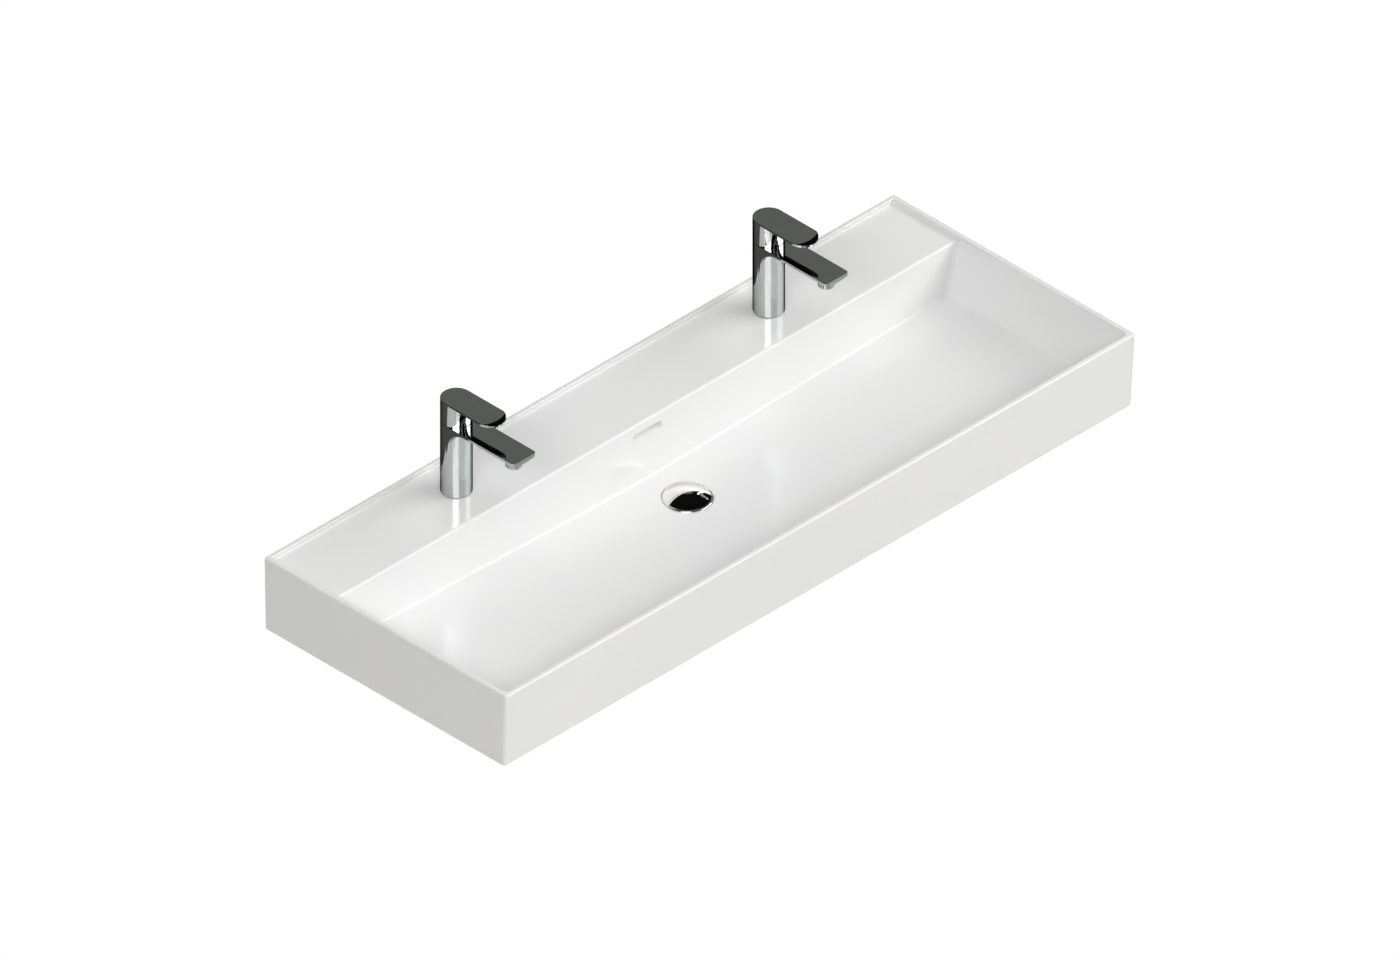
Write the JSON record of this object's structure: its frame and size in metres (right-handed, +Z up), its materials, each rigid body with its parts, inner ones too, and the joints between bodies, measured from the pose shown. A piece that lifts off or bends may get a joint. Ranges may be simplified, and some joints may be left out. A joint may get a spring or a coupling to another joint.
{
  "type": "double washbasin",
  "caption": "Long rectangular ceramic washbasin with a tap ledge, sloping bowl, overflow slot, click waste and single-lever mixer taps.",
  "frame": {"origin": "centre of the two wall-bolt holes, on the back face and half way up the basin", "axes": "+X along the basin to the right as a user faces it, +Y to the wall, +Z up"},
  "size_m": [1.2098, 0.4649, 0.312],
  "materials": {
    "ceramic": "glossy white glaze",
    "chrome": "polished",
    "brass": "turned",
    "rubber": "matt",
    "pale_plastic": "moulded",
    "dark_plastic": "moulded",
    "steel": "turned"
  },
  "bodies": {
    "fixed": {"basin": "ceramic", "click_barrel": "pale_plastic", "left_aerator_insert": "dark_plastic", "left_aerator_shell": "chrome", "left_base_seal": "rubber", "left_cartridge": "pale_plastic", "left_cartridge_nut": "brass", "left_clamp_nut": "steel", "left_clamp_pad": "rubber", "left_clamp_plate": "steel", "left_fixing_stud": "steel", "left_tap_body": "chrome", "right_aerator_insert": "dark_plastic", "right_aerator_shell": "chrome", "right_base_seal": "rubber", "right_cartridge": "pale_plastic", "right_cartridge_nut": "brass", "right_clamp_nut": "steel", "right_clamp_pad": "rubber", "right_clamp_plate": "steel", "right_fixing_stud": "steel", "right_tap_body": "chrome", "waste_backnut": "brass", "waste_body": "chrome", "waste_bottom_seal": "rubber", "waste_top_seal": "rubber"},
    "left_swivel": {"left_turret": "pale_plastic", "left_pivot_pin": "steel"},
    "left_handle": {"left_lever": "chrome", "left_stem": "steel", "left_lever_screw": "steel", "left_screw_cap": "chrome"},
    "right_swivel": {"right_turret": "pale_plastic", "right_pivot_pin": "steel"},
    "right_handle": {"right_lever": "chrome", "right_stem": "steel", "right_lever_screw": "steel", "right_screw_cap": "chrome"},
    "plug": {"plug_cap": "chrome", "plug_stem": "brass", "plug_seal": "rubber"}
  },
  "joints": [
    {"name": "left_temperature", "type": "hinge", "parent": "fixed", "child": "left_swivel", "pos_m": [-0.3, -0.065, 0.17], "axis": [0, 0, 1], "range_deg": [-50, 50]},
    {"name": "left_flow", "type": "hinge", "parent": "left_swivel", "child": "left_handle", "pos_m": [-0.3, -0.058, 0.1833], "axis": [-1, 0, 0], "range_deg": [0, 15]},
    {"name": "right_temperature", "type": "hinge", "parent": "fixed", "child": "right_swivel", "pos_m": [0.3, -0.065, 0.17], "axis": [0, 0, 1], "range_deg": [-50, 50]},
    {"name": "right_flow", "type": "hinge", "parent": "right_swivel", "child": "right_handle", "pos_m": [0.3, -0.058, 0.1833], "axis": [-1, 0, 0], "range_deg": [0, 15]},
    {"name": "plug_lift", "type": "slide", "parent": "fixed", "child": "plug", "axis": [0, 0, 1], "range_m": [0, 0.008]}
  ]
}
